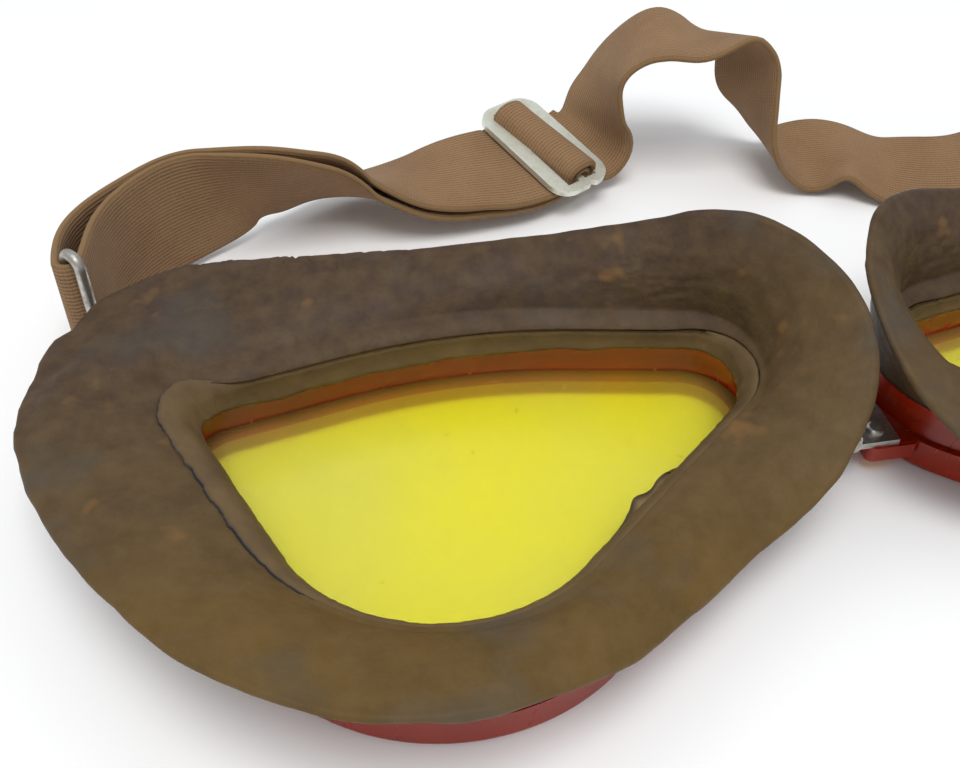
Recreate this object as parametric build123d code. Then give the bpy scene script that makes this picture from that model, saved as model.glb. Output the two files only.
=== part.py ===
from build123d import *
import math
import os

# Flying goggles lying lens down on a table: +X runs from the wearer's left cup to the right
# cup, +Y towards the brow, +Z up, away from the lenses. Lengths are in millimetres and angles
# in degrees. The left cup is modelled about its own eye centre and mirrored for the right one.

# Eye outline, seen from behind: corners as shares of the eye's width and height, with each
# corner's fillet as a share of the width. Order: temple, brow, nose brow, nose, cheek.
eye_width = 60.0
eye_height_share = 0.7        # height of the eye, from its width
eye_corner_shares = (
    (-0.573, 0.381, 0.100),
    (0.000, 0.557, 1.170),
    (0.542, 0.402, 0.120),
    (0.543, 0.119, 0.190),
    (-0.213, -0.812, 0.325),
)
nose_gap = 9.446              # from the middle of the bridge to each eye's outline

# Bezel, lens and moulded frame
bezel_depth = 2.0
bezel_cover = 1.0             # how far the bezel covers the lens inside the eye outline
bezel_rim = 4.0               # how far the bezel reaches outside the eye outline
bezel_round = 0.7
lens_depth = 2.0
lens_edge = 1.3               # how far the lens reaches outside the eye outline
lens_clearance = 0.1
wall_height = 7.0
wall_base = 3.0               # outside of the wall at the flange, from the eye outline
wall_top = 1.0                # outside of the wall at its rear edge
wall_draft = 1.0              # how far the inner face leans in over the wall's height
frame_overrun = 1.0           # extra depth of every cut in the frame, bezel and tabs

# Bezel screws, at shares of the way round the eye outline
screw_place_shares = (0.03, 0.28, 0.53, 0.80)
screw_inset = 2.65            # screw axis outside the eye outline
screw_head_radius = 0.9
screw_head_depth = 0.6
screw_radius = 0.5
screw_length = 2.9
screw_sink = 0.15
screw_slot = 0.25
screw_clearance = 0.05

# Rubber cushion: stations round the eye outline as shares of its length, each with the flange's
# reach and the height of its lip above the frame's rear edge, as shares of the two sizes below.
cushion_reach = 17.0
cushion_rise = 13.5
cushion_root = 3.6            # how far the cushion reaches down the outside of the wall
cushion_gap = 0.3             # between the cushion and the wall
cushion_lip = 1.5             # thickness at the lip
cushion_lip_share = 0.4       # how far the lip's round end stands out, from its thickness
cushion_seat = 0.2            # between the seam tape and the cushion above it
cushion_inner = 0.3           # inner edge of the flange, outside the eye outline
cushion_edge = 0.8            # height of the flange's inner edge above its seat
cushion_crown = 1.1           # how far the flange's upper face bulges
cushion_flare = 1.5           # how far its lower face hollows
cushion_station_shares = (
    # place, reach, rise
    (0.000, 0.47, -0.05),
    (0.030, 0.46, 0.03),
    (0.060, 0.50, 0.15),
    (0.090, 0.58, 0.27),
    (0.125, 0.65, 0.33),
    (0.160, 0.68, 0.33),
    (0.195, 0.75, 0.30),
    (0.235, 0.85, 0.26),
    (0.285, 0.91, 0.23),
    (0.322, 0.92, 0.21),
    (0.337, 0.91, 0.20),
    (0.352, 0.92, 0.19),
    (0.367, 0.95, 0.21),
    (0.382, 1.00, 0.26),
    (0.397, 1.01, 0.30),
    (0.412, 0.97, 0.32),
    (0.440, 0.88, 0.33),
    (0.480, 0.72, 0.35),
    (0.520, 0.58, 0.38),
    (0.565, 0.47, 0.44),
    (0.610, 0.41, 0.54),
    (0.655, 0.37, 0.67),
    (0.695, 0.33, 0.80),
    (0.715, 0.30, 0.88),
    (0.731, 0.27, 0.95),
    (0.747, 0.28, 0.99),
    (0.762, 0.33, 0.97),
    (0.777, 0.42, 0.91),
    (0.793, 0.51, 0.81),
    (0.808, 0.60, 0.65),
    (0.823, 0.66, 0.42),
    (0.838, 0.68, 0.20),
    (0.856, 0.68, 0.05),
    (0.885, 0.63, -0.08),
    (0.920, 0.56, -0.12),
    (0.960, 0.52, -0.10),
)

# Seam tape: it lies on the frame's rear edge and hangs into the opening by an uneven amount
tape_thickness = 0.6
tape_seat = 0.03
tape_outer = 0.9
tape_edge_inset = 1.3         # where the tape turns down, inside the eye outline
tape_hang = 2.6
tape_droop = 0.9
tape_hang_shares = (1.0, 1.08, 1.02, 0.94, 1.05, 1.1, 0.98, 0.92, 1.06, 1.12, 1.0, 0.95)

# Temple ear and its riveted tab, set out from the centre of the temple corner's fillet
temple_azimuth = 129.0
ear_length = 16.0
ear_width = 6.0
ear_start = 8.0
tab_thickness = 0.8
tab_start = 9.5
tab_width = 5.0
tab_eye_reach = 17.9
tab_eye_wall = 1.5
rivet_places = (11.6, 14.2)
rivet_radius = 0.7
rivet_head_radius = 1.15
rivet_head_height = 0.6
rivet_head_round = 0.5

# Strap link: a bent wire that hangs in the tab's eye by its short side
link_wire_radius = 0.7
link_eye_clearance = 0.1
link_reach = 10.4             # from the tab's eye to the strap bar
link_foot = 0.95              # height of the wire's centre line at its lowest
link_neck_low = 1.7
link_neck_high = 6.9
link_shoulder_rise = 0.3
link_corner_radius = 1.2

# Strap: woven elastic
strap_width = 17.0
strap_thickness = 1.0
strap_fit = 0.12              # between the strap and the wire or bar it goes round
strap_gap = 0.3               # between strap pieces that move apart
strap_stack = 0.2             # least gap between layers that lie on each other
bend_share = 0.96             # fillet of a strap's turn round a bar, from the turn's half width
ribbon_face_steps = 4         # stations to each face along a strap's free run

# Bridge: a riveted bar on the left nose ear and a leaf on the right one, joined by a pin
nose_ear_length = 3.0         # from the bezel's edge
nose_ear_width = 9.0
bridge_height = 5.0           # place across the nose, above the eye centre
bridge_thickness = 0.8
bridge_bar_width = 7.0
bridge_leaf_width = 8.4
bridge_wall_gap = 0.4
bridge_rivet_spacing = 4.4
bridge_rivet_inset = 1.4
pin_radius = 0.6
pin_clearance = 0.05
pin_head_radius = 0.95
pin_head_length = 0.5
barrel_radius = 1.3
barrel_length = 3.8
barrel_gap = 0.2

# Slider: a flat plate with three bars and two windows
slider_thickness = 0.9
slider_bar = 2.7              # width of each outer bar
slider_centre_bar = 1.2
slider_window = 2.3           # width of each window along the strap
slider_window_margin = 0.5    # window end beyond the strap's edge
slider_end = 1.5              # plate beyond the windows' ends
slider_notch = 1.0
slider_round_share = 0.3      # corner radius of the plate, from its width
slider_notch_angle = 45.0
roll_bend_share = 0.75        # small bends of the running strap, from its thickness
roll_turn_share = 0.7         # its turn over the centre bar, from that turn's half width
sewn_bend_share = 0.58        # turns of the sewn end, from their half width

# Strap route: x of the middle of the strap's width as a share of the distance from the bridge
# to a link bar, y beyond the link bars as a share of strap_depth and z as a share of the
# strap's width. Then the azimuth and elevation of its width, towards the edge that is
# uppermost at the left link and nearest the cups in the arch.
strap_depth = 42.5            # from the link bars to the far side of the strap's arch
slider_place_shares = (-0.232, 0.859, 0.430)
slider_across_azimuth = -54.0
slider_across_elevation = -16.0
slider_heading_angle = 31.0
slider_tail = 0.9             # straight strap beyond the slider's outer bars
doubled_route_shares = (
    (-0.993, 0.196, 0.606, -90, 90),
    (-0.970, 0.321, 0.594, -90, 90),
    (-0.930, 0.448, 0.576, -90, 90),
    (-0.877, 0.563, 0.553, -90, 90),
    (-0.816, 0.620, 0.541, -90, 90),
    (-0.746, 0.638, 0.535, -90, 88),
    (-0.680, 0.671, 0.529, -90, 78),
    (-0.626, 0.718, 0.506, -90, 60),
    (-0.582, 0.744, 0.465, -92, 43),
    (-0.523, 0.749, 0.412, -95, 21),
    (-0.470, 0.744, 0.371, -95, 6),
    (-0.415, 0.747, 0.329, -92, -1),
    (-0.361, 0.761, 0.347, -79, -5),
    (-0.333, 0.770, 0.345, -68, -11),
)
doubled_spread_shares = (2.7, 1.9, 1.1, 1.0, 1.0, 1.0, 1.1, 1.3, 1.6, 1.7, 1.6, 1.4, 1.2, 1.1)
back_route_shares = (
    (-0.124, 0.966, 0.400, -70, 0),
    (-0.119, 0.984, 0.524, -78, 4),
    (-0.114, 0.998, 0.671, -85, 4),
    (-0.105, 1.008, 0.818, -91, 4),
    (-0.092, 1.015, 0.953, -97, 3),
    (-0.052, 1.010, 1.176, -102, -1),
    (-0.002, 0.991, 1.271, -103, -3),
    (0.049, 0.963, 1.218, -101, 3),
    (0.099, 0.954, 1.224, -99, 15),
    (0.130, 0.955, 1.218, -94, 23),
    (0.148, 0.947, 1.112, -84, 27),
    (0.154, 0.916, 0.888, -76, 26),
    (0.164, 0.878, 0.665, -86, 23),
    (0.180, 0.848, 0.435, -98, 17),
    (0.206, 0.820, 0.235, -100, 6),
    (0.251, 0.801, 0.165, -100, -9),
    (0.297, 0.775, 0.194, -102, -10),
    (0.343, 0.735, 0.224, -108, -1),
    (0.386, 0.679, 0.165, -113, -5),
    (0.443, 0.611, 0.150, -116, -12),
    (0.501, 0.552, 0.200, -113, -14),
    (0.569, 0.490, 0.324, -104, -25),
    (0.639, 0.446, 0.453, -90, -43),
    (0.715, 0.431, 0.524, -77, -62),
    (0.791, 0.455, 0.559, -63, -78),
    (0.868, 0.488, 0.582, -90, -88),
    (0.920, 0.484, 0.600, -90, -90),
    (0.968, 0.448, 0.612, -90, -90),
)

# Strap ends at the links
loop_leg = 3.2                # straight strap beyond the left link's bar
sewn_length = 9.0             # doubled, stitched length at the right link
sewn_pinch = 3.0              # length over which the two layers close up
sewn_layer_gap = 0.04

# Levels and shared radii that follow from the sizes above
lens_level = bezel_depth
ledge_level = lens_level + lens_depth
rear_level = ledge_level + wall_height
tab_level = ledge_level
root_level = rear_level - cushion_root
cushion_level = rear_level + tape_seat + tape_thickness + cushion_seat
strap_low = link_foot + link_wire_radius + strap_gap
link_top = strap_low + strap_width + strap_gap + link_wire_radius
strap_middle = strap_low + strap_width / 2
turn_radius = link_wire_radius + strap_fit + strap_thickness / 2
slider_width = 2 * slider_bar + 2 * slider_window + slider_centre_bar
slider_window_length = strap_width + 2 * slider_window_margin
slider_length = slider_window_length + 2 * slider_end


def solid_of(shape):
    """The single solid of a shape, so that each node is written as one clean body."""
    solids = shape.solids()
    return solids[0] if len(solids) == 1 else Compound(solids)


def eye_wire():
    eye_height = eye_width * eye_height_share
    corners = [(x * eye_width, y * eye_height) for x, y, _ in eye_corner_shares]
    radii = [radius * eye_width for _, _, radius in eye_corner_shares]
    with BuildLine() as line:
        FilletPolyline(*corners, radius=radii, close=True)
    return line.wire()


outline = eye_wire()
corner_arcs = outline.edges().filter_by(GeomType.CIRCLE)
temple_centre = corner_arcs.sort_by(Axis.X)[0].arc_center
nose_edge = outline.bounding_box().max.X
nose_ear_end = nose_edge + bezel_rim + nose_ear_length
cup_pitch = 2 * (nose_edge + nose_gap)


def outline_point(share):
    """A point of the eye outline and the outward direction there."""
    share = share % 1.0
    point = outline.position_at(share)
    along = outline.tangent_at(share)
    out = Vector(along.Y, -along.X, 0)
    return point, out if out.dot(point) > 0 else out * -1


def eye_face(grow, level=0.0):
    face = Face(Wire(outline.edges()))
    if grow:
        face = offset(face, grow).faces()[0]
    return face.moved(Location((0, 0, level)))


def eye_prism(grow, low, high):
    return Solid.extrude(eye_face(grow, low), Vector(0, 0, high - low))


def eye_taper(grow_low, low, grow_high, high):
    """A solid with the eye outline's form that widens or narrows between two levels."""
    sections = [eye_face(grow_low, low).outer_wire(), eye_face(grow_high, high).outer_wire()]
    return Solid.make_loft(sections, True)


def ring_loft(places, section):
    """A closed ring of sections stood square to the eye outline, at the given places."""
    wires = []
    for index, share in enumerate(places):
        point, out = outline_point(share)
        across = out.cross(Vector(0, 0, 1))
        wires.append(section(index, Plane(origin=point, x_dir=out, z_dir=across)))
    return Solid.make_loft(wires + [wires[0]], False)


def screw_axes():
    for share in screw_place_shares:
        point, out = outline_point(share)
        yield point + out * screw_inset


def screw_cutter():
    head = Cylinder(screw_head_radius + screw_clearance, screw_sink + screw_head_depth + frame_overrun,
                    align=(Align.CENTER, Align.CENTER, Align.MAX))
    shank = Cylinder(screw_radius + screw_clearance, screw_sink + screw_length + screw_clearance,
                     align=(Align.CENTER, Align.CENTER, Align.MIN))
    return head.moved(Location((0, 0, screw_sink + screw_head_depth))) + shank


def cut_screw_holes(body):
    cutter = screw_cutter()
    for axis in screw_axes():
        body = body - cutter.moved(Location(axis))
    return body


def bezel():
    body = eye_prism(bezel_rim, 0, bezel_depth) - eye_prism(-bezel_cover, -frame_overrun,
                                                            bezel_depth + frame_overrun)
    front = body.faces().sort_by(Axis.Z)[0]
    body = fillet(front.outer_wire().edges(), bezel_round)
    return cut_screw_holes(body)


def bezel_screws():
    screws = []
    align_low = (Align.CENTER, Align.CENTER, Align.MIN)
    for axis in screw_axes():
        head = Cylinder(screw_head_radius, screw_head_depth, align=align_low)
        shank = Cylinder(screw_radius, screw_length, align=align_low)
        slot = Box(2 * screw_head_radius + screw_slot, screw_slot, 2 * screw_slot)
        screw = (head + shank - slot).moved(Location(axis + Vector(0, 0, screw_sink)))
        screws.append(solid_of(screw))
    return Compound(screws)


def lens():
    body = eye_prism(lens_edge, lens_level, ledge_level)
    return chamfer(body.edges().group_by(Axis.Z)[-1], lens_clearance)


def temple_direction():
    angle = math.radians(temple_azimuth)
    return Vector(math.cos(angle), math.sin(angle), 0)


def temple_strip(start, end, width, low, high):
    """A flat tongue along the temple ear's line, with a round outer end."""
    length = end - width / 2 - start
    tongue = Box(length, width, high - low, align=(Align.MIN, Align.CENTER, Align.MIN))
    nose = Cylinder(width / 2, high - low, align=(Align.CENTER, Align.CENTER, Align.MIN))
    tongue = tongue + nose.moved(Location((length, 0, 0)))
    place = temple_centre + temple_direction() * start + Vector(0, 0, low)
    return tongue.moved(Location(place, (0, 0, temple_azimuth)))


def temple_holes(radius, low, high):
    """Rivet holes along the temple ear, as solids to take away."""
    holes = []
    for reach in rivet_places:
        place = temple_centre + temple_direction() * reach + Vector(0, 0, low)
        hole = Cylinder(radius, high - low, align=(Align.CENTER, Align.CENTER, Align.MIN))
        holes.append(hole.moved(Location(place)))
    return holes


def bridge_rivet_points():
    reach = nose_ear_end - bridge_rivet_inset
    for side in (-1, 1):
        yield Vector(reach, bridge_height + side * bridge_rivet_spacing / 2, 0)


def frame():
    """Moulded amber frame: lens seat, flange, drafted wall, temple ear and nose ear."""
    flange = eye_prism(bezel_rim, lens_level, ledge_level)
    wall = eye_taper(wall_base, ledge_level, wall_top, rear_level)
    ear = temple_strip(ear_start, ear_length, ear_width, lens_level, ledge_level)
    ear_inner = nose_edge + lens_edge + lens_clearance
    nose_ear = Box(nose_ear_end - ear_inner, nose_ear_width, lens_depth,
                   align=(Align.MIN, Align.CENTER, Align.MIN))
    nose_ear = fillet(nose_ear.edges().filter_by(Axis.Z).group_by(Axis.X)[-1], frame_overrun)
    body = flange + wall + ear + nose_ear.moved(Location((ear_inner, bridge_height, lens_level)))
    body = body - eye_prism(lens_edge + lens_clearance, lens_level - frame_overrun, ledge_level)
    body = body - eye_taper(0, ledge_level, -wall_draft, rear_level)
    body = cut_screw_holes(body)
    for hole in temple_holes(rivet_radius, lens_level - frame_overrun, ledge_level + frame_overrun):
        body = body - hole
    for point in bridge_rivet_points():
        hole = Cylinder(rivet_radius, 2 * lens_depth)
        body = body - hole.moved(Location(point + Vector(0, 0, lens_level + lens_depth / 2)))
    return body


def wall_outside(level):
    """How far the wall's outer face stands outside the eye outline at a level."""
    share = (level - ledge_level) / wall_height
    return wall_base + (wall_top - wall_base) * share


def cushion():
    """Sponge-rubber flange: crowned above, hollowed below, rounded at its lip."""
    root = (wall_outside(root_level) + cushion_gap, root_level)
    shoulder = (wall_outside(rear_level) + cushion_gap, cushion_level)
    inner_low = (cushion_inner, cushion_level)
    inner_top = (cushion_inner, cushion_level + cushion_edge)

    def section(index, plane):
        _, reach_share, rise_share = cushion_station_shares[index]
        lip = Vector(cushion_reach * reach_share, rear_level + cushion_rise * rise_share)
        top_chord = lip - Vector(*inner_top)
        up = Vector(-top_chord.Y, top_chord.X).normalized()
        lip_top = lip + up * (cushion_lip / 2)
        lip_low = lip - up * (cushion_lip / 2)
        lip_tip = lip + top_chord.normalized() * (cushion_lip * cushion_lip_share)
        top_bulge = (Vector(*inner_top) + lip_top) / 2 + up * cushion_crown
        low_chord = lip_low - Vector(*root)
        down = Vector(low_chord.Y, -low_chord.X).normalized()
        low_hollow = (Vector(*root) + lip_low) / 2 - down * cushion_flare * reach_share
        with BuildLine(plane) as line:
            Line(inner_low, inner_top)
            ThreePointArc(inner_top, (top_bulge.X, top_bulge.Y), (lip_top.X, lip_top.Y))
            ThreePointArc((lip_top.X, lip_top.Y), (lip_tip.X, lip_tip.Y), (lip_low.X, lip_low.Y))
            ThreePointArc((lip_low.X, lip_low.Y), (low_hollow.X, low_hollow.Y), root)
            Line(root, shoulder)
            Line(shoulder, inner_low)
        return line.wire()

    return ring_loft([place for place, _, _ in cushion_station_shares], section)


def seam_tape():
    """Cloth tape over the frame's rear edge, its cut inner edge hanging into the opening."""
    low = rear_level + tape_seat

    def section(index, plane):
        hang = tape_hang * tape_hang_shares[index % len(tape_hang_shares)]
        points = (
            (tape_outer, low),
            (tape_outer, low + tape_thickness),
            (-tape_edge_inset, low + tape_thickness),
            (-hang, low + tape_thickness - tape_droop),
            (-hang, low - tape_droop),
            (-tape_edge_inset, low),
        )
        with BuildLine(plane) as line:
            Polyline(*points, close=True)
        return line.wire()

    return ring_loft([place for place, _, _ in cushion_station_shares], section)


def rivet(low, high):
    """A rivet flush below, with a rounded head above, on the Z axis."""
    align_low = (Align.CENTER, Align.CENTER, Align.MIN)
    shank = Cylinder(rivet_radius, high - low, align=align_low).moved(Location((0, 0, low)))
    head = Cylinder(rivet_head_radius, rivet_head_height, align=align_low)
    head = fillet(head.edges().group_by(Axis.Z)[-1], rivet_head_round)
    return solid_of(shank + head.moved(Location((0, 0, high))))


def rivets_at(points):
    body = rivet(lens_level, tab_level + tab_thickness)
    return Compound([body.moved(Location(point)) for point in points])


def temple_rivets():
    return rivets_at([temple_centre + temple_direction() * reach for reach in rivet_places])


def temple_tab():
    """Metal tab on the temple ear, with a round eye for the strap link."""
    eye_radius = link_wire_radius + link_eye_clearance
    end_radius = eye_radius + tab_eye_wall
    tab_top = tab_level + tab_thickness
    plate = temple_strip(tab_start, rivet_places[-1] + tab_width / 2, tab_width, tab_level, tab_top)
    neck = temple_strip(rivet_places[-1], tab_eye_reach + end_radius, 2 * end_radius, tab_level, tab_top)
    body = plate + neck
    for hole in temple_holes(rivet_radius, tab_level - frame_overrun, tab_top + frame_overrun):
        body = body - hole
    eye = Cylinder(eye_radius, 2 * tab_thickness + frame_overrun)
    place = temple_centre + temple_direction() * tab_eye_reach + Vector(0, 0, tab_level)
    return body - eye.moved(Location(place))


def link_eye():
    """Centre of the tab's eye, on the table's level."""
    return temple_centre + temple_direction() * tab_eye_reach


def link_bar():
    """Centre of the link's strap bar, on the table's level."""
    return temple_centre + temple_direction() * (tab_eye_reach + link_reach)


def strap_link():
    """Bent wire: a short side in the tab's eye, a neck under the cushion and a tall strap bar."""
    inner_side = link_reach - turn_radius - strap_thickness / 2 - strap_gap - link_wire_radius
    points = (
        (0, link_neck_low),
        (0, link_neck_high),
        (inner_side, link_neck_high + link_shoulder_rise),
        (inner_side, link_top),
        (link_reach, link_top),
        (link_reach, link_foot),
    )
    plane = Plane(origin=link_eye(), x_dir=temple_direction(),
                  z_dir=temple_direction().cross(Vector(0, 0, 1)))
    with BuildLine(plane) as path:
        FilletPolyline(*points, radius=link_corner_radius, close=True)
    wire = path.wire()
    start = Plane(origin=wire.position_at(0), z_dir=wire.tangent_at(0))
    return sweep(start * Circle(link_wire_radius), path=wire)


def strap_profile(plane, points, radii):
    """A band of strap bent along a path in a plane, as a face to extrude across its width."""
    with BuildSketch(plane) as band:
        with BuildLine():
            FilletPolyline(*points, radius=radii)
        trace(line_width=strap_thickness)
    return band.sketch


def strap_loop():
    """The strap's turn round the left link's bar."""
    plane = Plane(origin=link_bar() + Vector(0, 0, strap_low), x_dir=(1, 0, 0), z_dir=(0, 0, 1))
    near = turn_radius * bend_share
    points = (
        (-turn_radius, loop_leg),
        (-turn_radius, -turn_radius),
        (turn_radius, -turn_radius),
        (turn_radius, loop_leg),
    )
    return solid_of(extrude(strap_profile(plane, points, [near, near]), strap_width))


def sewn_loop():
    """The strap's end turned round the right link's bar and stitched to itself."""
    half = (strap_thickness + sewn_layer_gap) / 2
    near = turn_radius * bend_share
    pinch_end = loop_leg + sewn_pinch
    plane = Plane(origin=link_bar() + Vector(0, 0, strap_low), x_dir=(1, 0, 0), z_dir=(0, 0, 1))
    points = (
        (half, pinch_end + sewn_length),
        (half, pinch_end),
        (turn_radius, loop_leg),
        (turn_radius, -turn_radius),
        (-turn_radius, -turn_radius),
        (-turn_radius, loop_leg),
        (-half, pinch_end),
        (-half, pinch_end + sewn_length),
    )
    radii = [strap_thickness, strap_thickness, near, near, strap_thickness, strap_thickness]
    return solid_of(extrude(strap_profile(plane, points, radii), strap_width))


def unit(azimuth, elevation):
    level = math.cos(math.radians(elevation))
    return Vector(level * math.cos(math.radians(azimuth)), level * math.sin(math.radians(azimuth)),
                  math.sin(math.radians(elevation)))


def ribbon_corners(stations, rises):
    """The four corners of a strap's section at each of its stations."""
    centres = [centre for centre, _, _ in stations]
    corners = []
    for index, (centre, across, along) in enumerate(stations):
        before = centres[max(index - 1, 0)]
        after = centres[min(index + 1, len(centres) - 1)]
        if along is None:
            along = (after - before).normalized()
        across = (across - along * across.dot(along)).normalized()
        face_out = along.cross(across)
        middle = centre + face_out * rises[index]
        side = across * (strap_width / 2)
        skin = face_out * (strap_thickness / 2)
        corners.append([middle + side + skin, middle - side + skin, middle - side - skin, middle + side - skin])
    return corners


def ribbon(stations, rises):
    """A strap of even width and thickness through stations: centre, width direction and, where
    it is given, the strap's own direction. Each rise lifts the strap off its route along its
    face, for layers that lie together. Its four long edges are smooth curves."""
    corners = ribbon_corners(stations, rises)
    travel = [0.0]
    for (first, _, _), (second, _, _) in zip(stations, stations[1:]):
        travel.append(travel[-1] + (second - first).length)
    rails = [Edge.make_spline(list(rail), parameters=travel) for rail in zip(*corners)]
    cuts = [place / travel[-1] for place in travel[:-1:ribbon_face_steps]] + [1.0]
    faces = [Face(Wire.make_polygon(section, close=True)) for section in (corners[0], corners[-1])]
    for low, high in zip(cuts, cuts[1:]):
        pieces = [rail.trim(low, high) for rail in rails]
        faces += [Face.make_surface_from_curves(pieces[index - 1], piece) for index, piece in enumerate(pieces)]
    return Solid(Shell(faces))


def route_place(x_share, y_share, z_share):
    """A place on the strap's route, in the row's frame."""
    bar = link_bar()
    return Vector(x_share * (cup_pitch / 2 - bar.X), bar.Y + y_share * strap_depth, z_share * strap_width)


def route(shares):
    return [(route_place(x, y, z), unit(azimuth, elevation), None) for x, y, z, azimuth, elevation in shares]


def slider_plane():
    """The slider's plate: local x along the strap, local y across it, local z off its face."""
    along = unit(slider_heading_angle, 0)
    across = unit(slider_across_azimuth, slider_across_elevation) * -1
    across = (across - along * across.dot(along)).normalized()
    return Plane(origin=route_place(*slider_place_shares), x_dir=along, z_dir=along.cross(across))


def slider():
    """Flat three-bar plate with round ends and a small notch in its near end."""
    window_place = slider_centre_bar / 2 + slider_window / 2
    with BuildSketch() as plate:
        Rectangle(slider_width, slider_length)
        fillet(plate.vertices(), slider_width * slider_round_share)
        with Locations((window_place, 0), (-window_place, 0)):
            Rectangle(slider_window, slider_window_length, mode=Mode.SUBTRACT)
        with Locations((slider_window / 2, -slider_length / 2)):
            Rectangle(slider_notch, slider_notch, rotation=slider_notch_angle, mode=Mode.SUBTRACT)
    body = extrude(plate.sketch, slider_thickness / 2, both=True)
    body = body.moved(slider_plane().location)
    return solid_of(body)


def roll_levels():
    """Levels of the strap layers under the slider, below the middle of its plate."""
    upper = slider_thickness / 2 + strap_gap + strap_thickness / 2
    lower = upper + strap_thickness + strap_stack
    return upper, lower


def roll_end():
    return slider_width / 2 + slider_tail


def strap_roll():
    """The running strap, drawn under both outer bars and over the centre bar and the sewn end."""
    upper, _ = roll_levels()
    inner_side = slider_centre_bar / 2 + strap_fit + strap_thickness
    leg = inner_side + strap_fit + strap_thickness / 2
    top = slider_thickness / 2 + 2 * strap_fit + strap_thickness + strap_thickness / 2
    points = (
        (-roll_end(), -upper),
        (-leg, -upper),
        (-leg, top),
        (leg, top),
        (leg, -upper),
        (roll_end(), -upper),
    )
    small = strap_thickness * roll_bend_share
    turn = leg * roll_turn_share
    return slider_band(points, [small, turn, turn, small])


def sewn_end():
    """The strap's other end, turned round the centre bar and stitched under itself."""
    _, lower = roll_levels()
    side = slider_centre_bar / 2 + strap_fit + strap_thickness / 2
    level = slider_thickness / 2 + strap_fit + strap_thickness / 2
    points = (
        (-roll_end(), -lower),
        (side, -lower),
        (side, level),
        (-side, level),
        (-side, -level),
        (side - strap_thickness - strap_fit, -level),
    )
    return slider_band(points, [side * sewn_bend_share] * (len(points) - 2))


def slider_band(points, radii):
    """A strap piece bent in the slider's own section, as wide as the strap."""
    base = slider_plane()
    section = Plane(origin=base.origin, x_dir=base.x_dir, z_dir=base.y_dir * -1)
    band = extrude(strap_profile(section, points, radii), strap_width / 2, both=True)
    return solid_of(band)


def slider_station(side, level):
    """A route station where the strap leaves the slider, before or after it."""
    base = slider_plane()
    place = base.origin + base.x_dir * side * (roll_end() + strap_gap) - base.z_dir * level
    return place, unit(slider_across_azimuth, slider_across_elevation), base.x_dir


def left_link_station():
    start = link_bar() + Vector(-cup_pitch / 2, loop_leg + strap_gap, strap_middle)
    return start, Vector(0, 0, 1), Vector(0, 1, 0)


def doubled_strap(side):
    """One layer of the doubled strap from the left link to the slider; side 1 faces the cups."""
    upper, lower = roll_levels()
    layer = strap_thickness + strap_stack
    spreads = [share * layer for share in doubled_spread_shares]
    rises = [turn_radius] + [spread / 2 for spread in spreads] + [(lower - upper) / 2]
    middle = (upper + lower) / 2
    stations = [left_link_station()] + route(doubled_route_shares) + [slider_station(-1, middle)]
    return ribbon(stations, [rise * side for rise in rises])


def back_strap():
    """The single strap that arches up behind the slider and runs round to the right link."""
    upper, _ = roll_levels()
    half = (strap_thickness + sewn_layer_gap) / 2
    bar = link_bar()
    sewn = loop_leg + sewn_pinch + sewn_length + strap_gap
    end = Vector(cup_pitch / 2 - bar.X + half, bar.Y + sewn, strap_middle)
    stations = [slider_station(1, upper)] + route(back_route_shares)
    stations.append((end, Vector(0, 0, -1), Vector(0, -1, 0)))
    return ribbon(stations, [0] * len(stations))


def barrel(start, length, bore):
    """A hinge barrel along Y on the bridge's pin line."""
    tube = Cylinder(barrel_radius, length) - Cylinder(bore, length + frame_overrun)
    tube = tube.rotate(Axis.X, 90)
    return tube.moved(Location((0, start + length / 2, pin_level())))


def pin_level():
    return tab_level + barrel_radius


def bridge_box(low_x, high_x, width):
    box = Box(high_x - low_x, width, bridge_thickness, align=(Align.MIN, Align.CENTER, Align.MIN))
    return box.moved(Location((low_x, bridge_height, tab_level)))


def bridge_bore(radius):
    bore = Cylinder(radius, 2 * bridge_leaf_width).rotate(Axis.X, 90)
    return bore.moved(Location((0, bridge_height, pin_level())))


def bridge_places(side):
    """Rivet places on the left or the right nose ear, in the row's frame."""
    for point in bridge_rivet_points():
        yield Vector(side * (cup_pitch / 2 - point.X), point.Y, 0)


def cut_bridge_holes(body, side):
    for place in bridge_places(side):
        hole = Cylinder(rivet_radius, 2 * bridge_thickness + frame_overrun)
        body = body - hole.moved(Location(place + Vector(0, 0, tab_level)))
    return body


def bridge_start():
    """Where the bridge's plates begin, just clear of the frame's wall."""
    return cup_pitch / 2 - nose_edge - wall_base - bridge_wall_gap


def bridge_bar():
    """Plate riveted on the left nose ear, curled round the pin between the leaf's barrels."""
    inner = barrel_radius + 2 * barrel_gap
    wide = bridge_box(-bridge_start(), -inner, bridge_bar_width)
    tongue = bridge_box(-inner - barrel_gap, 0, barrel_length)
    knuckle = barrel(bridge_height - barrel_length / 2, barrel_length, pin_radius)
    body = wide + tongue + knuckle - bridge_bore(pin_radius)
    return cut_bridge_holes(body, -1)


def bridge_leaf():
    """Plate riveted on the right nose ear, with a barrel at each end of the pin."""
    side_length = (bridge_leaf_width - barrel_length) / 2 - barrel_gap
    room = barrel_radius + 2 * barrel_gap
    plate = bridge_box(0, bridge_start(), bridge_leaf_width)
    plate = plate - bridge_box(-frame_overrun, room, barrel_length + 2 * barrel_gap)
    body = plate
    for start in (bridge_height - bridge_leaf_width / 2,
                  bridge_height + bridge_leaf_width / 2 - side_length):
        body = body + barrel(start, side_length, pin_radius + pin_clearance)
    body = body - bridge_bore(pin_radius + pin_clearance)
    return cut_bridge_holes(body, 1)


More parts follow.
